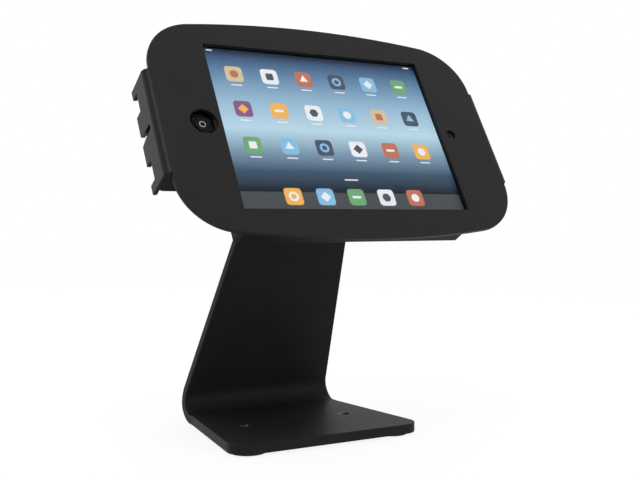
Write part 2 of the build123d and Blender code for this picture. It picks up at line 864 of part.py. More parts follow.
def rear_tray():
    """A plus-shaped pan whose walls close round the tablet's long edges and the arm ends."""
    low_front = tablet_back - tray_lip_gap
    outer, inner = tray_outline(0), tray_outline(tray_wall)
    shell = slab(outer, tray_back, lip_front)
    shell = fillet(shell.edges().group_by(Axis.Z)[0], tray_edge_round)
    shell -= slab(inner, tray_floor, lip_front + overrun)
    tablet_x = tablet_length / 2 + tray_end_gap
    tablet_y = tray_half_height - tray_wall
    shell -= block(-tablet_x, tablet_x, -tablet_y, tablet_y, low_front, lip_front + overrun)
    for x in (-tray_reach, tray_reach - tray_wall):
        end = (x, x + tray_wall, -tray_arm_half_height, tray_arm_half_height)
        shell -= block(*end, -flange_bend_radius - seat_gap, lip_front + overrun)
    through = (tray_back - overrun, tray_floor + overrun)
    shell -= rod(swivel_window_radius, *through)
    half = swivel_hole_spacing / 2
    for place in mirrored_pair(half, half):
        shell -= rod(swivel_screw_radius + screw_hole_gap, *through, place)
    for place in security_places():
        shell -= rod(security_screw_radius + screw_hole_gap, *through, place)
    shell -= rod(cable_hole_radius, *through, (0, -cable_hole_drop))
    shell -= slab(Pos(lock_offset, 0) * lock_section(thread_gap), *through)
    for i in range(vent_count):
        for s in (-1, 1):
            x = s * (vent_start + i * vent_pitch)
            shell -= slab(Pos(x, 0) * SlotOverall(vent_length, vent_width, rotation=90), *through)
    return shell


def tray_grommet():
    """A rubber ring in the tray's cable hole."""
    at = (0, -cable_hole_drop)
    neck = rod(cable_hole_radius - thread_gap, tray_back, tray_floor, at)
    lips = rod(cable_hole_radius + grommet_lip, tray_back - grommet_lip_thickness, tray_back, at)
    lips += rod(cable_hole_radius + grommet_lip, tray_floor, tray_floor + grommet_lip_thickness, at)
    lips = chamfer(lips.edges().group_by(Axis.Z)[0], grommet_lip_thickness * edge_share)
    low = tray_back - grommet_lip_thickness - overrun
    high = tray_floor + grommet_lip_thickness + overrun
    return neck + lips - rod(grommet_bore_radius, low, high, at)


def foam_pads():
    """Four foam blocks between the tray's floor and the tablet's back."""
    x = tray_box_half_length - tray_wall - pad_inset - pad_length / 2
    y = tray_half_height - tray_wall - pad_inset - pad_height / 2
    outline = RectangleRounded(pad_length, pad_height, pad_corner_radius)
    return [Pos(*place) * slab(outline, tray_floor, tablet_back) for place in mirrored_pair(x, y)]


# Lock, in the face frame

def lock_housing():
    """The lock's flanged barrel, through the right arm of the tray."""
    at = (lock_offset, 0)
    flange_back = tray_back - lock_flange_thickness
    flange = rod(lock_flange_radius, flange_back, tray_back, at)
    flange = chamfer(flange.edges().group_by(Axis.Z)[0], lock_flange_thickness * edge_share)
    barrel = slab(Pos(*at) * lock_section(0), tray_back, -lock_barrel_end)
    bore = rod(plug_radius + running_gap, flange_back - overrun, -lock_barrel_end + overrun, at)
    return flange + barrel - bore


def lock_nut():
    """The nut that clamps the lock barrel against the tray's floor."""
    high = tray_floor + lock_nut_thickness
    body = slab(hexagon(lock_nut_across), tray_floor, high)
    body -= slab(lock_section(thread_gap), tray_floor - overrun, high + overrun)
    return Pos(lock_offset, 0, 0) * body


def lock_plug():
    """The turning plug with its keyway behind and a square tail in front."""
    at = (lock_offset, 0)
    back = tray_back - lock_flange_thickness - plug_proud
    body = rod(plug_radius, back, -lock_barrel_end, at)
    tail = Rectangle(plug_tail_width, plug_tail_width)
    cam_front = -lock_barrel_end + cam_gap + cam_thickness
    body += slab(Pos(*at) * tail, -lock_barrel_end, cam_front)
    body -= slab(Pos(*at) * Rectangle(keyway_width, keyway_height), back - overrun, back + keyway_depth)
    hole_end = cam_front - cam_screw_length - seat_gap
    return body - rod(cam_screw_radius + thread_gap, hole_end, cam_front + overrun, at)


def lock_cam():
    """A flat cam on the plug's tail, which points at the keeper when locked."""
    low = -lock_barrel_end + cam_gap
    high = low + cam_thickness
    arm_length = cam_length - cam_width / 2
    arm = Circle(cam_eye_radius) + Pos(0, arm_length / 2) * Rectangle(cam_width, arm_length)
    arm += Pos(0, arm_length) * Circle(cam_width / 2)
    hole = Rectangle(plug_tail_width + thread_gap * 2, plug_tail_width + thread_gap * 2)
    return slab(Pos(lock_offset, 0) * (arm - hole), low, high)


def cam_screw():
    """The screw that holds the cam on the plug."""
    seat = -lock_barrel_end + cam_gap + cam_thickness
    screw = button_bolt(
        cam_screw_radius, cam_screw_length, cam_screw_head_radius, cam_screw_head_height,
        cam_screw_radius * 2, cam_screw_head_height * edge_share,
    )
    return Pos(lock_offset, 0, seat) * screw


def lock_keeper():
    """A bent strip on the cover's back that the cam closes in front of."""
    lip_front_level = -lock_barrel_end + cam_gap - keeper_gap
    lip_back = lip_front_level - keeper_thickness
    foot_back = cover_back - keeper_thickness
    section = make_face(
        Polyline(
            (keeper_reach, lip_front_level),
            (keeper_riser, lip_front_level),
            (keeper_riser, cover_back),
            (keeper_end, cover_back),
            (keeper_end, foot_back),
            (keeper_riser + keeper_thickness, foot_back),
            (keeper_riser + keeper_thickness, lip_back),
            (keeper_reach, lip_back),
            close=True,
        )
    )
    strip = extrude(Plane.YZ * section, amount=keeper_width / 2, both=True)
    return Pos(lock_offset, 0, 0) * strip


# Tablet, in the face frame

def tablet_outline(inset):
    """The tablet's rounded outline, drawn in by an inset."""
    return RectangleRounded(
        tablet_length - inset * 2, tablet_height - inset * 2, tablet_corner_radius - inset
    )


def tablet_shell():
    """A thin metal tub with a rounded back edge and a port in its left edge."""
    body = slab(tablet_outline(0), tablet_back, glass_back)
    body = fillet(body.edges().group_by(Axis.Z)[0], tablet_back_radius)
    inner_back = tablet_back + shell_wall
    hollow = slab(tablet_outline(shell_wall), inner_back, glass_back + overrun)
    hollow = fillet(hollow.edges().group_by(Axis.Z)[0], tablet_back_radius - shell_wall)
    body -= hollow
    level = (tablet_back + glass_back) / 2
    slot = SlotOverall(port_length, port_height)
    cut = extrude(Plane.YZ * slot, amount=shell_wall + overrun * 2)
    return body - Pos(-tablet_length / 2 - overrun, 0, level) * cut


def charge_socket():
    """The socket behind the tablet's port."""
    level = (tablet_back + glass_back) / 2
    outer = extrude(Plane.YZ * SlotOverall(port_length, port_height), amount=port_depth)
    inner_slot = SlotOverall(port_length - port_wall * 2, port_height - port_wall * 2)
    inner = extrude(Plane.YZ * inner_slot, amount=port_depth - port_wall)
    return Pos(port_start - tablet_length / 2, 0, level) * (outer - inner)


def tablet_glass():
    """The front glass with a hole for the home button."""
    body = slab(tablet_outline(glass_margin), glass_back, glass_front)
    body = fillet(body.edges().group_by(Axis.Z)[-1], glass_edge_radius)
    hole = home_button_radius + home_button_gap
    return body - rod(hole, glass_back - overrun, glass_front + overrun, (-home_button_offset, 0))


def display_panel():
    """The display module behind the glass."""
    high = glass_back - display_drop
    outline = Rectangle(display_length + display_border * 2, display_height + display_border * 2)
    return slab(outline, high - display_thickness, high)


def home_button():
    """A round dished button in the glass's hole."""
    low = glass_front - home_button_thickness
    body = rod(home_button_radius, low, glass_front)
    edge = home_button_radius - home_button_dish
    dish_radius = (edge**2 + home_button_dish**2) / (2 * home_button_dish)
    dish = Pos(0, 0, glass_front - home_button_dish + dish_radius) * Sphere(dish_radius)
    return Pos(-home_button_offset, 0, 0) * (body - dish)


def home_switch():
    """The small switch that the home button presses."""
    high = glass_front - home_button_thickness - home_button_travel - home_switch_gap
    dome = rod(home_switch_dome_radius, high - home_switch_height, high)
    dome = fillet(dome.edges().group_by(Axis.Z)[-1], home_switch_gap)
    low = tablet_back + shell_wall
    base = slab(Rectangle(home_switch_length, home_switch_base_length), low, high - home_switch_height)
    return Pos(-home_button_offset, 0, 0) * (base + dome)


def camera_module():
    """The front camera behind the glass, with a raised lens ring."""
    low = glass_back - camera_depth
    barrel = rod(camera_radius, low, glass_back)
    well = rod(camera_lens_radius, glass_back - camera_lens_step, glass_back + overrun)
    return Pos(camera_offset, 0, 0) * (barrel - well)


def battery_cells():
    """Flat cells side by side under the display."""
    low = tablet_back + shell_wall
    pitch = battery_length + battery_gap
    start = -pitch * (battery_count - 1) / 2
    outline = RectangleRounded(battery_length, battery_height, battery_gap)
    cell = slab(outline, low, low + battery_thickness)
    return [Pos(start + i * pitch, 0, 0) * cell for i in range(battery_count)]


def logic_board():
    """A narrow board with chips beside the cells."""
    low = tablet_back + shell_wall
    x = camera_offset - camera_radius - seat_gap - board_width / 2
    board = slab(Rectangle(board_width, board_height), low, low + board_thickness)
    start = -chip_pitch * (chip_count - 1) / 2
    top = low + board_thickness
    chip = slab(Rectangle(chip_length, chip_height), top, top + chip_thickness)
    for i in range(chip_count):
        board += Pos(0, start + i * chip_pitch, 0) * chip
    return Pos(x, 0, 0) * board


WORLD_NODES = {
    "stand_plate": stand_plate,
    "rubber_feet": rubber_feet,
}
COLUMN_NODES = {
    "hinge_bracket": hinge_bracket,
    "bracket_bolts": bracket_bolts,
    "hinge_bolt": hinge_bolt,
    "hinge_nut": hinge_nut,
    "hinge_washers": hinge_washers,
    "friction_discs": friction_discs,
}
FACE_NODES = {
    "tilt_knuckle": tilt_knuckle,
    "swivel_bolt": swivel_bolt,
    "thrust_washer": thrust_washer,
    "disc_spring": disc_spring,
    "friction_washer": friction_washer,
    "stop_pin": stop_pin,
    "swivel_plate": swivel_plate,
    "swivel_screws": swivel_screws,
    "face_cover": face_cover,
    "cover_gasket": cover_gasket,
    "cover_standoffs": cover_standoffs,
    "standoff_sleeves": standoff_sleeves,
    "security_screws": security_screws,
    "rear_tray": rear_tray,
    "tray_grommet": tray_grommet,
    "foam_pads": foam_pads,
    "lock_housing": lock_housing,
    "lock_nut": lock_nut,
    "lock_plug": lock_plug,
    "lock_cam": lock_cam,
    "cam_screw": cam_screw,
    "lock_keeper": lock_keeper,
    "tablet_shell": tablet_shell,
    "charge_socket": charge_socket,
    "tablet_glass": tablet_glass,
    "display_panel": display_panel,
    "home_button": home_button,
    "home_switch": home_switch,
    "camera_module": camera_module,
    "battery_cells": battery_cells,
    "logic_board": logic_board,
}


def write(name, made, frame):
    """Moves what a function made into the object's frame and writes it as one file."""
    pieces = made if isinstance(made, list) else [made]
    solids = [frame * solid for piece in pieces for solid in piece.solids()]
    shape = solids[0] if len(solids) == 1 else Compound(children=solids)
    shape.label = name
    export_step(shape, f"parts/{name}.step")


os.makedirs("parts", exist_ok=True)
for nodes, frame in ((WORLD_NODES, Location()), (COLUMN_NODES, column_frame), (FACE_NODES, face_frame)):
    for node_name, make in nodes.items():
        write(node_name, make(), frame)

print("face centre", 0, round(base_front + face_run, 4), round(face_height, 4))
print("hinge axis", 0, round(base_front + hinge_run, 4), round(hinge_height, 4))
print("base front", round(base_front, 4), "base top", base_top)
print("lock", lock_offset, "home button", -home_button_offset)
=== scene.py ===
import bpy
import json
from math import cos, pi, radians, sin
from mathutils import Matrix, Vector


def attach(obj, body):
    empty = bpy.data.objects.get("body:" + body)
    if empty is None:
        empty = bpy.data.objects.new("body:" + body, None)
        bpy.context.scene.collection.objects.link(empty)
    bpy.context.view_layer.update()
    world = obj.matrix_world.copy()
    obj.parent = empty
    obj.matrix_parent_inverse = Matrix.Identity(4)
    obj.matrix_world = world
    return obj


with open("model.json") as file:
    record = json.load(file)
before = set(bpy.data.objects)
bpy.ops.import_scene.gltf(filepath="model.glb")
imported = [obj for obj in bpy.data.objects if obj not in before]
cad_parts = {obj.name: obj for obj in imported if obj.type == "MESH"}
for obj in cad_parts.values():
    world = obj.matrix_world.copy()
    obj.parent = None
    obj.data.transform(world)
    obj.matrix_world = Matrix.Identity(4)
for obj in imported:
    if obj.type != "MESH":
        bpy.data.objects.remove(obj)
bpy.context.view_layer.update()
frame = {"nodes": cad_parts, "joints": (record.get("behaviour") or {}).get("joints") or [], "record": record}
nodes = frame["nodes"]

# Blender works in metres, and the pieces drawn in this script are given in millimetres
MM = 0.001

# The face frame of the CAD model: X right, Y up the face, Z towards the viewer
joints = {joint["name"]: joint for joint in frame["joints"]}
FACE_CENTRE = Vector(joints["screen_swivel"]["pos_m"])
FACE_NORMAL = Vector(joints["screen_swivel"]["axis"]).normalized()
FACE_UP = Vector((0, FACE_NORMAL.z, -FACE_NORMAL.y))
FACE = Matrix.Translation(FACE_CENTRE) @ Matrix((
    (1, 0, 0, 0),
    (0, FACE_UP.y, FACE_NORMAL.y, 0),
    (0, FACE_UP.z, FACE_NORMAL.z, 0),
    (0, 0, 0, 1),
))


def face_box(name):
    """A node's lowest and highest corners in the face frame, in millimetres."""
    to_face = FACE.inverted()
    points = [to_face @ vertex.co / MM for vertex in nodes[name].data.vertices]
    return [Vector([pick(point[axis] for point in points) for axis in range(3)]) for pick in (min, max)]


# Places and sizes read from the frame, in face coordinates
glass_low, glass_high = face_box("tablet_glass")
GLASS_BACK, GLASS_FRONT = glass_low.z, glass_high.z
GLASS_SIZE = (glass_high.x - glass_low.x, glass_high.y - glass_low.y)
DISPLAY_FRONT = face_box("display_panel")[1].z
home_low, home_high = face_box("home_button")
HOME_X = (home_low.x + home_high.x) / 2
HOME_RADIUS = (home_high.x - home_low.x) / 2

# Places and sizes repeated from the CAD model
DISPLAY_SIZE = (197.1, 147.8)
GLASS_CORNER = 10.3
CAMERA_X = 109.3
BASE_TOP = 10.0
SINK_RADIUS = 5.3


def add_object(name, data):
    """A new object that shows some data, put in the scene."""
    made = bpy.data.objects.new(name, data)
    bpy.context.scene.collection.objects.link(made)
    return made


# Node material helpers

def new_material(name):
    """A new node material, its tree and its shader."""
    material = bpy.data.materials.new(name)
    material.use_nodes = True
    tree = material.node_tree
    return material, tree, tree.nodes["Principled BSDF"]


def add(tree, kind, **inputs):
    """Adds a node and sets its inputs by name."""
    node = tree.nodes.new(kind)
    for key, value in inputs.items():
        node.inputs[key].default_value = value
    return node


def set_inputs(node, values):
    """Sets inputs whose names have spaces."""
    for key, value in values.items():
        node.inputs[key].default_value = value


def grey(value):
    """A grey colour."""
    return (value, value, value)


SCREEN_LEVELS = 255
SCREEN_GAMMA = 2.2


def display_tone(red, green, blue):
    """A colour written as a screen shows it, from 0 to 255, as the linear values of a shader."""
    return tuple((channel / SCREEN_LEVELS) ** SCREEN_GAMMA for channel in (red, green, blue))


def object_noise(tree, scale, detail):
    """Noise over the object's own coordinates, in metres."""
    coordinates = tree.nodes.new("ShaderNodeTexCoord")
    noise = add(tree, "ShaderNodeTexNoise", Scale=scale, Detail=detail, Roughness=0.5)
    tree.links.new(coordinates.outputs["Object"], noise.inputs["Vector"])
    return noise.outputs["Fac"]


def ramp(tree, source, stops):
    """A colour ramp over a value, from pairs of place and colour."""
    node = tree.nodes.new("ShaderNodeValToRGB")
    elements = node.color_ramp.elements
    while len(elements) < len(stops):
        elements.new(0.5)
    for element, (place, colour) in zip(elements, stops):
        element.position = place
        element.color = (*colour, 1)
    tree.links.new(source, node.inputs["Fac"])
    return node.outputs["Color"]


def map_range(tree, source, low, high):
    """Maps a value from 0 to 1 to a range."""
    node = tree.nodes.new("ShaderNodeMapRange")
    set_inputs(node, {"To Min": low, "To Max": high})
    tree.links.new(source, node.inputs["Value"])
    return node.outputs["Result"]


def bump(tree, shader, source, strength, distance):
    """Roughens a shader's normal by a value."""
    node = add(tree, "ShaderNodeBump", Strength=strength, Distance=distance)
    tree.links.new(source, node.inputs["Height"])
    tree.links.new(node.outputs["Normal"], shader.inputs["Normal"])


def mix_shaders(tree, factor, first, second, output):
    """Sends two shaders, mixed by a factor, to the output node."""
    mix = tree.nodes.new("ShaderNodeMixShader")
    tree.links.new(factor, mix.inputs["Fac"])
    tree.links.new(first, mix.inputs[1])
    tree.links.new(second, mix.inputs[2])
    tree.links.new(mix.outputs["Shader"], tree.nodes[output].inputs["Surface"])


def seen_rays(tree):
    """A value of 1 where a camera, glossy or transmission ray arrives, and 0 elsewhere."""
    path = tree.nodes.new("ShaderNodeLightPath")
    total = path.outputs["Is Camera Ray"]
    for name in ("Is Glossy Ray", "Is Transmission Ray"):
        either = tree.nodes.new("ShaderNodeMath")
        either.operation = "MAXIMUM"
        tree.links.new(total, either.inputs[0])
        tree.links.new(path.outputs[name], either.inputs[1])
        total = either.outputs["Value"]
    return total


# Materials

CLOUD_DETAIL = 4
CLOUD_ENDS = (0.35, 0.65)
GRAIN_DETAIL = 2


def surface(name, dark, light, rough, cloud, grain=None, metallic=0.0, specular=0.5):
    """A surface whose colour and roughness vary in clouds, with a fine grain.

    rough holds the lowest and highest roughness, cloud is the noise's scale, and grain holds the
    scale, strength and depth in metres of a bump.
    """
    material, tree, shader = new_material(name)
    noise = object_noise(tree, cloud, CLOUD_DETAIL)
    colour = ramp(tree, noise, list(zip(CLOUD_ENDS, (dark, light))))
    tree.links.new(colour, shader.inputs["Base Color"])
    tree.links.new(map_range(tree, noise, *rough), shader.inputs["Roughness"])
    set_inputs(shader, {"Metallic": metallic, "Specular IOR Level": specular})
    if grain:
        scale, strength, distance = grain
        bump(tree, shader, object_noise(tree, scale, GRAIN_DETAIL), strength, distance)
    return material


COAT_SHADE_SHARE = 0.06
COAT_ROUGH_SPREAD = 0.02
COAT_CLOUD = 40
COAT_GRAIN = (1800, 0.25, 0.00006)


def powder_coat(name, level, roughness, specular=0.09):
    """Black powder coat with a very fine orange-peel grain."""
    return surface(
        name, grey(level * (1 - COAT_SHADE_SHARE)), grey(level * (1 + COAT_SHADE_SHARE)),
        (roughness - COAT_ROUGH_SPREAD, roughness + COAT_ROUGH_SPREAD), COAT_CLOUD,
        grain=COAT_GRAIN, specular=specular,
    )


LIT_DARK_SHARE = 0.94
LIT_CLOUD = 60
LIT_DETAIL = 2
LIT_ENDS = (0.3, 0.7)


def emissive(name, colour):
    """A lit colour with slight unevenness."""
    material, tree, shader = new_material(name)
    low = tuple(channel * LIT_DARK_SHARE for channel in colour)
    tone = ramp(tree, object_noise(tree, LIT_CLOUD, LIT_DETAIL), list(zip(LIT_ENDS, (low, colour))))
    tree.links.new(tone, shader.inputs["Emission Color"])
    set_inputs(shader, {"Emission Strength": 1.0, "Base Color": (*grey(0.01), 1), "Roughness": 0.5})
    return material


def face_height(tree):
    """A value that goes from 0 at the display's bottom edge to 1 at its top."""
    coordinates = tree.nodes.new("ShaderNodeTexCoord")
    dot = tree.nodes.new("ShaderNodeVectorMath")
    dot.operation = "DOT_PRODUCT"
    dot.inputs[1].default_value = FACE_UP
    tree.links.new(coordinates.outputs["Object"], dot.inputs[0])
    middle = FACE_CENTRE.dot(FACE_UP)
    half = DISPLAY_SIZE[1] / 2 * MM
    height = tree.nodes.new("ShaderNodeMapRange")
    set_inputs(height, {"From Min": middle - half, "From Max": middle + half})
    tree.links.new(dot.outputs["Value"], height.inputs["Value"])
    return height.outputs["Result"]


# The display's gradient, from its bottom edge to its top edge
DISPLAY_STOPS = [
    (0.00, display_tone(12, 16, 24)),
    (0.12, display_tone(14, 22, 34)),
    (0.24, display_tone(58, 82, 104)),
    (0.36, display_tone(122, 150, 172)),
    (0.50, display_tone(181, 213, 230)),
    (0.66, display_tone(150, 185, 209)),
    (0.84, display_tone(98, 133, 167)),
    (0.95, display_tone(56, 84, 120)),
    (1.00, display_tone(18, 26, 40)),
]


def display_material():
    """A lit display with a plain blue gradient."""
    material, tree, shader = new_material("display_face")
    tree.links.new(ramp(tree, face_height(tree), DISPLAY_STOPS), shader.inputs["Emission Color"])
    set_inputs(shader, {
        "Emission Strength": 1.0,
        "Base Color": (0.004, 0.004, 0.005, 1),
        "Roughness": 0.4,
        "Specular IOR Level": 0.1,
    })
    return material


SMUDGE_SCALE = 25
SMUDGE_DETAIL = 3
SMUDGE_ROUGHNESS = (0.01, 0.05)
SMUDGE_TINTS = [(0.2, (0.97, 0.98, 0.98)), (0.8, (1, 1, 1))]


def glass_material():
    """Clear cover glass with faint smudges."""
    material, tree, shader = new_material("front_glass")
    set_inputs(shader, {"Transmission Weight": 1.0, "IOR": 1.10, "Specular IOR Level": 0.25})
    smudge = object_noise(tree, SMUDGE_SCALE, SMUDGE_DETAIL)
    tree.links.new(map_range(tree, smudge, *SMUDGE_ROUGHNESS), shader.inputs["Roughness"])
    tree.links.new(ramp(tree, smudge, SMUDGE_TINTS), shader.inputs["Base Color"])
    return material


# Each powder coat's level of grey and roughness, and the specular level of two of them
POWDER_COATS = {
    "stand_coat": (0.014, 0.48, 0.06),
    "cover_coat": (0.012, 0.38, 0.11),
    "tray_coat": (0.010, 0.50),
    "bracket_coat": (0.010, 0.48),
    "knuckle_coat": (0.010, 0.48),
    "plate_coat": (0.010, 0.48),
}
RUBBER_CLOUD = 60
MACHINED = (2500, 0.1, 0.00003)
SURFACES = {
    "feet_rubber": dict(
        dark=grey(0.008), light=grey(0.014), rough=(0.75, 0.9), cloud=RUBBER_CLOUD,
        grain=(900, 0.3, 0.0001)),
    "sleeve_rubber": dict(
        dark=grey(0.012), light=grey(0.02), rough=(0.7, 0.85), cloud=RUBBER_CLOUD,
        grain=(900, 0.2, 0.0001)),
    "grommet_rubber": dict(
        dark=grey(0.008), light=grey(0.013), rough=(0.6, 0.75), cloud=RUBBER_CLOUD,
        grain=(900, 0.2, 0.0001)),
    "pad_foam": dict(
        dark=grey(0.02), light=grey(0.05), rough=(0.9, 1.0), cloud=150, grain=(700, 0.8, 0.0006)),
    "gasket_foam": dict(
        dark=grey(0.008), light=grey(0.015), rough=(0.85, 0.95), cloud=80, grain=(900, 0.5, 0.0002)),
    "black_fastener": dict(
        dark=grey(0.03), light=grey(0.05), rough=(0.3, 0.42), cloud=200, grain=MACHINED, metallic=0.9),
    "zinc_fastener": dict(
        dark=(0.42, 0.43, 0.44), light=(0.55, 0.55, 0.56), rough=(0.25, 0.38), cloud=180,
        grain=MACHINED, metallic=1.0),
    "spring_steel": dict(
        dark=grey(0.3), light=grey(0.42), rough=(0.25, 0.4), cloud=150, grain=MACHINED, metallic=1.0),
    "friction_lining": dict(
        dark=(0.05, 0.04, 0.03), light=(0.10, 0.08, 0.06), rough=(0.7, 0.85), cloud=300,
        grain=(1500, 0.4, 0.0001)),
    "lock_chrome": dict(
        dark=grey(0.62), light=grey(0.72), rough=(0.08, 0.16), cloud=120, metallic=1.0),
    "lock_steel": dict(
        dark=grey(0.35), light=grey(0.5), rough=(0.28, 0.4), cloud=150, grain=MACHINED, metallic=1.0),
    "tablet_metal": dict(
        dark=grey(0.012), light=grey(0.018), rough=(0.45, 0.55), cloud=90, grain=(3000, 0.15, 0.00002),
        metallic=0.6, specular=0.2),
    "button_black": dict(
        dark=grey(0.001), light=grey(0.002), rough=(0.14, 0.20), cloud=80, specular=0.10),
    "switch_plastic": dict(dark=grey(0.05), light=grey(0.08), rough=(0.5, 0.6), cloud=90),
    "camera_black": dict(dark=grey(0.004), light=(0.006, 0.007, 0.012), rough=(0.06, 0.14), cloud=90),
    "battery_film": dict(
        dark=grey(0.03), light=grey(0.045), rough=(0.35, 0.5), cloud=50, grain=(400, 0.2, 0.0002)),
    "board_green": dict(
        dark=(0.01, 0.07, 0.03), light=(0.015, 0.10, 0.045), rough=(0.35, 0.5), cloud=200,
        grain=(1200, 0.2, 0.0001)),
    "socket_steel": dict(
        dark=grey(0.45), light=grey(0.55), rough=(0.3, 0.4), cloud=150, metallic=1.0),
}
MATERIALS = {name: powder_coat(name, *look) for name, look in POWDER_COATS.items()}
MATERIALS.update({name: surface(name, **look) for name, look in SURFACES.items()})
MATERIALS["front_glass"] = glass_material()
MATERIALS["display_face"] = display_material()
for part in frame["record"]["subparts"]:
    node = nodes[part["node"]]
    node.data.materials.clear()
    node.data.materials.append(MATERIALS[part["material_slot"]])


# Outlines, in millimetres

ROUND_STEPS = 48


def circle_outline(radius, steps=ROUND_STEPS):
    """Points round a circle, counter-clockwise."""
    return [(radius * cos(2 * pi * i / steps), radius * sin(2 * pi * i / steps)) for i in range(steps)]


def polygon(sides, radius, turn=0.0):
    """The corners of a regular polygon, the first one turned from the X axis by an angle."""
    return [(radius * cos(turn + 2 * pi * i / sides), radius * sin(turn + 2 * pi * i / sides))
            for i in range(sides)]


def rounded_outline(width, height, radius, steps=8):
    """Points round a rectangle with rounded corners, counter-clockwise."""
    points = []
    for turn, (sx, sy) in enumerate(((1, 1), (-1, 1), (-1, -1), (1, -1))):
        centre = (sx * (width / 2 - radius), sy * (height / 2 - radius))
        for i in range(steps + 1):
            angle = (turn + i / steps) * pi / 2
            points.append((centre[0] + radius * cos(angle), centre[1] + radius * sin(angle)))
    return points


def moved(points, x, y):
    """The points shifted along X and Y."""
    return [(px + x, py + y) for px, py in points]


# Pieces made from outlines and sections

def add_piece(name, mesh, material, body):
    """Puts a mesh in the scene as a piece that rides on a body."""
    mesh.materials.clear()
    mesh.materials.append(material)
    piece = add_object(name, mesh)
    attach(piece, body)


def flat_piece(name, outlines, low, high, material, body="enclosure"):
    """Closed outlines, some of them holes, raised between two levels of the face frame."""
    curve = bpy.data.curves.new(name, "CURVE")
    curve.dimensions = "2D"
    curve.fill_mode = "BOTH"
    curve.extrude = (high - low) / 2 * MM
    for outline in outlines:
        spline = curve.splines.new("POLY")
        spline.points.add(len(outline) - 1)
        for point, (x, y) in zip(spline.points, outline):
            point.co = (x * MM, y * MM, 0, 1)
        spline.use_cyclic_u = True
    source = add_object(name + "_curve", curve)
    bpy.context.view_layer.update()
    graph = bpy.context.evaluated_depsgraph_get()
    mesh = bpy.data.meshes.new_from_object(source.evaluated_get(graph))
    bpy.data.objects.remove(source)
    mesh.name = name
    mesh.transform(FACE @ Matrix.Translation((0, 0, (low + high) / 2 * MM)))
    add_piece(name, mesh, material, body)


def turned_piece(name, section, centre, material, body):
    """A closed section of radius and height points, turned round a vertical axis, in millimetres."""
    count = len(section)
    points = []
    for i in range(ROUND_STEPS):
        angle = 2 * pi * i / ROUND_STEPS
        for radius, height in section:
            x, y = centre[0] + radius * cos(angle), centre[1] + radius * sin(angle)
            points.append((x * MM, y * MM, height * MM))
    faces = []
    for i in range(ROUND_STEPS):
        for j in range(count):
            here, beside = i * count, (i + 1) % ROUND_STEPS * count
            following = (j + 1) % count
            faces.append((here + j, beside + j, beside + following, here + following))
    mesh = bpy.data.meshes.new(name)
    mesh.from_pydata(points, [], faces)
    mesh.shade_smooth()
    add_piece(name, mesh, material, body)


# The print behind the glass and the black lining round its edge

MASK_MARGIN = 0.3
MASK_OVERLAP = 0.1
MASK_CORNER = 0.3
MASK_CORNER_STEPS = 2
MASK_HOME_ROOM = 0.2
MASK_CAMERA_RADIUS = 1.9
MASK_LOW, MASK_HIGH = GLASS_BACK - 0.1, GLASS_BACK - 0.03
RIM_HALF = 0.05
RIM_TOP = GLASS_FRONT - 0.35


def glass_outline(margin):
    """The glass's outline, drawn in by a margin."""
    return rounded_outline(GLASS_SIZE[0] - 2 * margin, GLASS_SIZE[1] - 2 * margin, GLASS_CORNER - margin)


mask_ink = surface(
    "mask_ink", dark=grey(0.002), light=grey(0.003), rough=(0.3, 0.4), cloud=60, specular=0.03)
window = [side - 2 * MASK_OVERLAP for side in DISPLAY_SIZE]
flat_piece(
    "glass_mask",
    [
        glass_outline(MASK_MARGIN),
        rounded_outline(*window, MASK_CORNER, MASK_CORNER_STEPS),
        moved(circle_outline(HOME_RADIUS + MASK_HOME_ROOM), HOME_X, 0),
        moved(circle_outline(MASK_CAMERA_RADIUS), CAMERA_X, 0),
    ],
    MASK_LOW, MASK_HIGH, mask_ink,
)
flat_piece(
    "glass_rim", [glass_outline(-RIM_HALF), glass_outline(RIM_HALF)], GLASS_BACK, RIM_TOP, mask_ink,
)


# The picture on the display: generic tiles with plain marks, captions and two bars

BAR_LOW = DISPLAY_FRONT + 0.01
TILE_LOW, TILE_HIGH = DISPLAY_FRONT + 0.03, DISPLAY_FRONT + 0.10
MARK_HIGH = TILE_HIGH + 0.05

TILE = 14.6
TILE_RADIUS = 3.0
TILE_STEPS = 5
TILE_PITCH = (30.4, 33.0)
TOP_ROW_Y = 50.0
DOCK_PITCH = 27.0
DOCK_ROW_Y = -60.5
PALETTE = {
    "sand": (0.62, 0.50, 0.30),
    "clay": (0.50, 0.13, 0.06),
    "leaf": (0.12, 0.36, 0.14),
    "ink": (0.03, 0.05, 0.09),
    "sky": (0.20, 0.48, 0.72),
    "paper": (0.80, 0.82, 0.84),
    "plum": (0.20, 0.07, 0.22),
    "amber": (0.85, 0.42, 0.06),
}
TILE_ROWS = [
    ["sand", "paper", "clay", "ink", "sky", "leaf"],
    ["plum", "amber", "paper", "sky", "sand", "ink"],
    ["leaf", "sky", "ink", "paper", "clay", "amber"],
]
DOCK_TILES = ["amber", "sky", "leaf", "paper", "clay"]
MARK_ON = {
    "sand": "clay", "clay": "paper", "leaf": "paper", "ink": "sky",
    "sky": "paper", "paper": "ink", "plum": "amber", "amber": "paper",
}
DISC_RADIUS = 3.6
SQUARE_SIDE = 6.4
POINTED_RADIUS = 4.4
RING_MARK_RADIUS = 4.2
RING_MARK_HOLE_RADIUS = 2.2
HEXAGON_RADIUS = 4.0
DASH_SIZE = (8.0, 2.2)
MARK_CORNER = 1.0
MARK_CORNER_STEPS = 3
MARK_STEPS = 28
MARK_HOLE_STEPS = 20
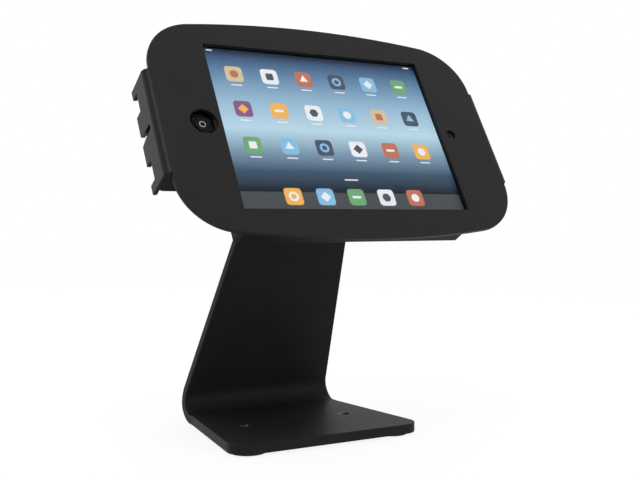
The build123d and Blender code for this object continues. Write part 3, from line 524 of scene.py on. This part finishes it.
# Each mark is one outline, or two for a ring
MARKS = [
    [circle_outline(DISC_RADIUS, MARK_STEPS)],
    [rounded_outline(SQUARE_SIDE, SQUARE_SIDE, MARK_CORNER, MARK_CORNER_STEPS)],
    [polygon(3, POINTED_RADIUS, pi / 2)],
    [circle_outline(RING_MARK_RADIUS, MARK_STEPS), circle_outline(RING_MARK_HOLE_RADIUS, MARK_HOLE_STEPS)],
    [polygon(4, POINTED_RADIUS)],
    [rounded_outline(*DASH_SIZE, MARK_CORNER, MARK_CORNER_STEPS)],
    [polygon(6, HEXAGON_RADIUS)],
]
# How far each row starts along the list of marks from the row above, and where the dock starts
ROW_MARK_STEP = 4
DOCK_FIRST_MARK = 3


def row_places(count, pitch):
    """The x places of a centred row."""
    return [(i - (count - 1) / 2) * pitch for i in range(count)]


grid_tiles = [
    (x, TOP_ROW_Y - row * TILE_PITCH[1], colour, row * ROW_MARK_STEP + column)
    for row, colours in enumerate(TILE_ROWS)
    for column, (x, colour) in enumerate(zip(row_places(len(colours), TILE_PITCH[0]), colours))
]
dock_tiles = [
    (x, DOCK_ROW_Y, colour, DOCK_FIRST_MARK + i)
    for i, (x, colour) in enumerate(zip(row_places(len(DOCK_TILES), DOCK_PITCH), DOCK_TILES))
]
tiles_by_colour = {}
marks_by_colour = {}
for x, y, colour, mark in grid_tiles + dock_tiles:
    tile = rounded_outline(TILE, TILE, TILE_RADIUS, TILE_STEPS)
    tiles_by_colour.setdefault(colour, []).append(moved(tile, x, y))
    for outline in MARKS[mark % len(MARKS)]:
        marks_by_colour.setdefault(MARK_ON[colour], []).append(moved(outline, x, y))
lit = {name: emissive("tile_" + name, colour) for name, colour in PALETTE.items()}
for colour, outlines in tiles_by_colour.items():
    flat_piece("tiles_" + colour, outlines, TILE_LOW, TILE_HIGH, lit[colour])
for colour, outlines in marks_by_colour.items():
    flat_piece("marks_" + colour, outlines, TILE_HIGH, MARK_HIGH, lit[colour])

# The bars and captions: width, height and corner radius, with the place of their middle
SLIM_STEPS = 2
STATUS_Y = 71.7
DOCK_BAR = ((196.4, 17, 0.2), (0, -65.2))
STATUS_BAR = ((196.4, 4.0, 0.2), (0, STATUS_Y))
CAPTION_SHAPE = (9.5, 1.0, 0.4)
CAPTION_DROP = 10.6
PAGE_DOTS = ((12, 1.2, 0.5), (0, -45.0))
STATUS_SIGNS = [((5, 1.2, 0.5), (-92, STATUS_Y)), ((6, 1.2, 0.5), (91, STATUS_Y))]


def slim_bar(shape, place):
    """The outline of a bar or caption."""
    return moved(rounded_outline(*shape, SLIM_STEPS), *place)


dock_lit = emissive("dock_bar", display_tone(48, 52, 58))
flat_piece("dock_bar", [slim_bar(*DOCK_BAR)], BAR_LOW, TILE_LOW, dock_lit)
status_lit = emissive("status_bar", display_tone(30, 46, 68))
flat_piece("status_bar", [slim_bar(*STATUS_BAR)], BAR_LOW, TILE_LOW, status_lit)
captions = [slim_bar(CAPTION_SHAPE, (x, y - CAPTION_DROP)) for x, y, colour, mark in grid_tiles]
captions += [slim_bar(*bar) for bar in (PAGE_DOTS, *STATUS_SIGNS)]
flat_piece("caption_bars", captions, TILE_LOW, TILE_HIGH, lit["paper"])


# The ring on the home button, the camera's lens, and a painted reflection round the lens: a grey film on the
# glass that stands in for the glass's reflection in the camera hole, lighter than the cover to make up for
# the hole's shade

RING_RADII = (2.5, 2.0)
RING_LOW, RING_HIGH = GLASS_FRONT - 0.40, GLASS_FRONT - 0.22
LENS_RADIUS = 1.3
LENS_LOW, LENS_HIGH = GLASS_BACK - 0.3, GLASS_BACK - 0.12
REFLECTION_RADIUS = 5.0
REFLECTION_HOLE_RADIUS = 1.5
REFLECTION_HOLE_STEPS = 24
REFLECTION_LOW, REFLECTION_HIGH = GLASS_FRONT + 0.02, GLASS_FRONT + 0.12

ring_ink = surface("button_ring", dark=grey(0.35), light=grey(0.5), rough=(0.3, 0.4), cloud=100)
flat_piece(
    "button_ring", [moved(circle_outline(radius), HOME_X, 0) for radius in RING_RADII],
    RING_LOW, RING_HIGH, ring_ink, body="button",
)
lens = surface(
    "lens_glass", dark=(0.004, 0.005, 0.012), light=(0.01, 0.01, 0.03), rough=(0.02, 0.06), cloud=200,
    specular=0.8)
flat_piece(
    "camera_lens", [moved(circle_outline(LENS_RADIUS), CAMERA_X, 0)], LENS_LOW, LENS_HIGH, lens,
)
# Painted reflection: a grey film, lighter than the cover coat, that stands in for the glass's reflection and
# offsets the shade inside the camera hole
painted_reflection = surface(
    "camera_painted_reflection", dark=grey(0.030), light=grey(0.036), rough=(0.5, 0.6), cloud=80, specular=0.2)
reflection_hole = circle_outline(REFLECTION_HOLE_RADIUS, REFLECTION_HOLE_STEPS)
flat_piece(
    "camera_surround",
    [moved(circle_outline(REFLECTION_RADIUS), CAMERA_X, 0), moved(reflection_hole, CAMERA_X, 0)],
    REFLECTION_LOW, REFLECTION_HIGH, painted_reflection,
)


# The coat inside the countersinks of the base, polished by screw heads

LINING = 0.06
anchors = [mount for mount in frame["record"]["mounts"] if mount["name"] == "anchor_holes"][0]
anchor_half_spacing = anchors["dims"]["spacing_x_mm"] / 2
anchor_y = anchors["pos_m"][1] / MM
hole_radius = anchors["dims"]["hole_r_mm"]
# The countersink's cone is as deep as it is wider than the hole
sink_bottom = BASE_TOP - (SINK_RADIUS - hole_radius)
polished = surface(
    "polished_coat", dark=grey(0.05), light=grey(0.08), rough=(0.22, 0.3), cloud=400, metallic=0.8)
lining_section = [
    (hole_radius, sink_bottom + LINING / 2),
    (SINK_RADIUS - LINING / 2, BASE_TOP),
    (SINK_RADIUS - LINING * 2, BASE_TOP),
    (hole_radius, sink_bottom + LINING * 2),
]
for side, sign in (("left", -1), ("right", 1)):
    turned_piece(
        "sink_lining_" + side, lining_section, (sign * anchor_half_spacing, anchor_y), polished,
        body="stand",
    )


# Floor, world, lights and camera, in metres

FLOOR_HALF = 6
FLOOR_DROP = 0.0002
FLOOR_CLOUD = 3
FLOOR_BOUNCED = (grey(0.60), grey(0.64))
FLOOR_SEEN = (grey(0.96), grey(0.98))
FLOOR_WHITE_SHARE = 0.88

# The places of a mix node's two colour inputs and of its colour output
MIX_COLOUR_A, MIX_COLOUR_B = 6, 7
MIX_COLOUR_RESULT = 2


def floor_material():
    """Paint that is pale where it is seen, grey in its bounced light, and keeps the object's shadow."""
    material, tree, shader = new_material("floor_paint")
    cloud = object_noise(tree, FLOOR_CLOUD, CLOUD_DETAIL)
    bounced = ramp(tree, cloud, list(zip(CLOUD_ENDS, FLOOR_BOUNCED)))
    seen = ramp(tree, cloud, list(zip(CLOUD_ENDS, FLOOR_SEEN)))
    paint = tree.nodes.new("ShaderNodeMix")
    paint.data_type = "RGBA"
    tree.links.new(seen_rays(tree), paint.inputs["Factor"])
    tree.links.new(bounced, paint.inputs[MIX_COLOUR_A])
    tree.links.new(seen, paint.inputs[MIX_COLOUR_B])
    tree.links.new(paint.outputs[MIX_COLOUR_RESULT], shader.inputs["Base Color"])
    shader.inputs["Roughness"].default_value = 0.65
    white = add(tree, "ShaderNodeEmission", Strength=1.0)
    share = tree.nodes.new("ShaderNodeMath")
    share.operation = "MULTIPLY"
    share.inputs[1].default_value = FLOOR_WHITE_SHARE
    tree.links.new(seen_rays(tree), share.inputs[0])
    mix_shaders(
        tree, share.outputs["Value"], shader.outputs["BSDF"], white.outputs["Emission"],
        "Material Output",
    )
    return material


floor_mesh = bpy.data.meshes.new("floor")
floor_corners = [(-1, -1), (1, -1), (1, 1), (-1, 1)]
floor_mesh.from_pydata([(x * FLOOR_HALF, y * FLOOR_HALF, 0) for x, y in floor_corners], [], [(0, 1, 2, 3)])
floor_mesh.materials.append(floor_material())
floor = add_object("floor", floor_mesh)
floor.location.z = -FLOOR_DROP

# The world lights the object softly and is plain white where it is seen or reflected
world = bpy.data.worlds.new("studio")
bpy.context.scene.world = world
world.use_nodes = True
studio = world.node_tree
soft = studio.nodes["Background"]
set_inputs(soft, {"Color": (0.98, 0.99, 1.0, 1), "Strength": 0.9})
backdrop = add(studio, "ShaderNodeBackground", Color=(1, 1, 1, 1), Strength=1.0)
mix_shaders(
    studio, seen_rays(studio), soft.outputs["Background"], backdrop.outputs["Background"], "World Output",
)

# Each light's name, place, target, width and height, and power in watts
LIGHTS = [
    ("key", (-0.42, -0.80, 1.70), (0, 0, 0.2), (0.7, 0.3), 9),
    ("fill", (1.5, -1.2, 0.3), (0, 0, 0.15), (1.2, 0.6), 5),
    ("back", (0.3, 1.6, 1.6), (0, 0, 0.15), (1.6, 0.8), 5),
]
for name, place, target, size, power in LIGHTS:
    data = bpy.data.lights.new(name, "AREA")
    data.shape = "RECTANGLE"
    data.size, data.size_y = size
    data.energy = power
    light = add_object(name, data)
    light.location = place
    light.rotation_euler = (Vector(target) - Vector(place)).to_track_quat("-Z", "Y").to_euler()

# The camera's place and aim were fitted to the photograph, in metres and degrees
CAMERA_FROM_FACE = Vector((-0.37562, -0.63538, -0.06973))
CAMERA_LOOKS_DOWN = 1.36
CAMERA_TURN = -29.455
CAMERA_LENS = 53.01
CAMERA_SENSOR = 36.0

camera_data = bpy.data.cameras.new("camera")
camera_data.sensor_width = CAMERA_SENSOR
camera_data.lens = CAMERA_LENS
camera = add_object("camera", camera_data)
camera.location = FACE_CENTRE + CAMERA_FROM_FACE
camera.rotation_euler = (radians(90 - CAMERA_LOOKS_DOWN), 0, radians(CAMERA_TURN))
bpy.context.scene.camera = camera
bpy.context.scene.view_settings.view_transform = "Standard"
